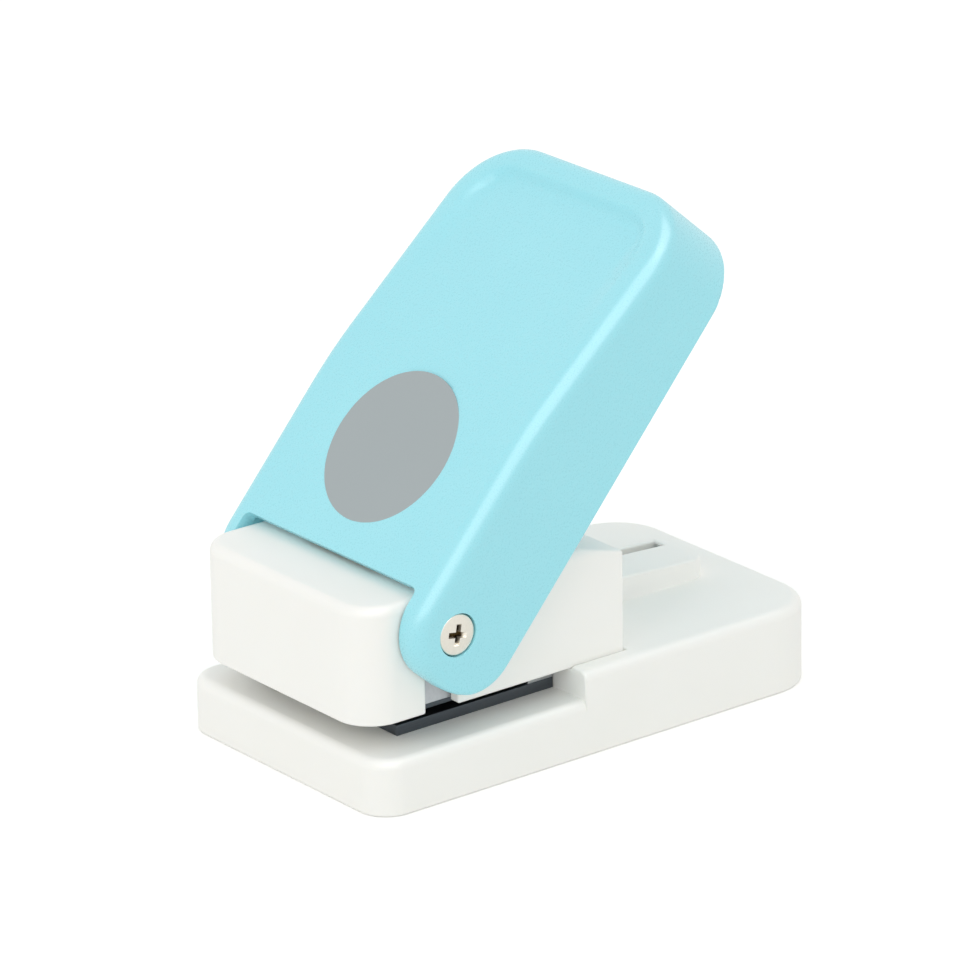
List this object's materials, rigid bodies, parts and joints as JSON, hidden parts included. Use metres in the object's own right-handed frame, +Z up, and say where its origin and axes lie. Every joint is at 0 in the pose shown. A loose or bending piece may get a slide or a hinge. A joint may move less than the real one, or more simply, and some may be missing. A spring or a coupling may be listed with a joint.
{
  "type": "circle craft punch",
  "caption": "Desk paper punch that cuts circles: a hinged lever with a cam drives a sprung round cutter through paper laid in a front throat, over a hollow base that lets the circles drop out.",
  "frame": {"origin": "middle of the base's underside, on the surface it stands on", "axes": "+Z up, -Y towards the front where the paper goes in, +X to the right seen from the front"},
  "size_m": [0.0492, 0.0856, 0.0808],
  "materials": {
    "white_plastic": "satin moulded plastic",
    "blue_plastic": "soft gloss moulded plastic",
    "grey_plastic": "flat grey",
    "acetal": "natural acetal",
    "cast_alloy": "die cast, light grey",
    "tool_steel": "dark hardened steel",
    "cutter_steel": "ground",
    "screw_steel": "zinc plated",
    "plated_steel": "nickel plated",
    "spring_steel": "drawn wire"
  },
  "bodies": {
    "stand": {"base": "white_plastic", "base_cover": "white_plastic", "cover_screws": "screw_steel", "die_plate": "tool_steel", "paper_stop": "screw_steel", "guide_plate": "tool_steel", "guide_screws": "screw_steel", "die_screws": "screw_steel", "punch_frame": "cast_alloy", "frame_screws": "screw_steel", "housing": "white_plastic", "housing_screws": "screw_steel", "pivot_bush_left": "screw_steel", "pivot_bush_right": "screw_steel", "pivot_screw_left": "plated_steel", "pivot_screw_right": "plated_steel", "spring_left": "spring_steel", "spring_right": "spring_steel"},
    "lever_unit": {"lever": "blue_plastic", "press_cam": "acetal", "cam_screws": "screw_steel", "size_disc": "grey_plastic"},
    "punch_unit": {"punch": "cutter_steel", "punch_head": "acetal", "head_screw": "screw_steel"}
  },
  "joints": [
    {"name": "lever_hinge", "type": "hinge", "parent": "stand", "child": "lever_unit", "pos_m": [0, -0.02825, 0.02575], "axis": [-1, 0, 0], "range_deg": [0, 48.9], "stiffness_Nm_per_rad": 0.11, "springref_deg": -34.38},
    {"name": "punch_slide", "type": "slide", "parent": "stand", "child": "punch_unit", "axis": [0, 0, -1], "range_m": [0, 0.00743], "deforming": ["spring_left", "spring_right"]}
  ],
  "couplings": [
    {"joint": "punch_slide", "follows": "lever_hinge", "m_per_rad": 0.0087}
  ]
}
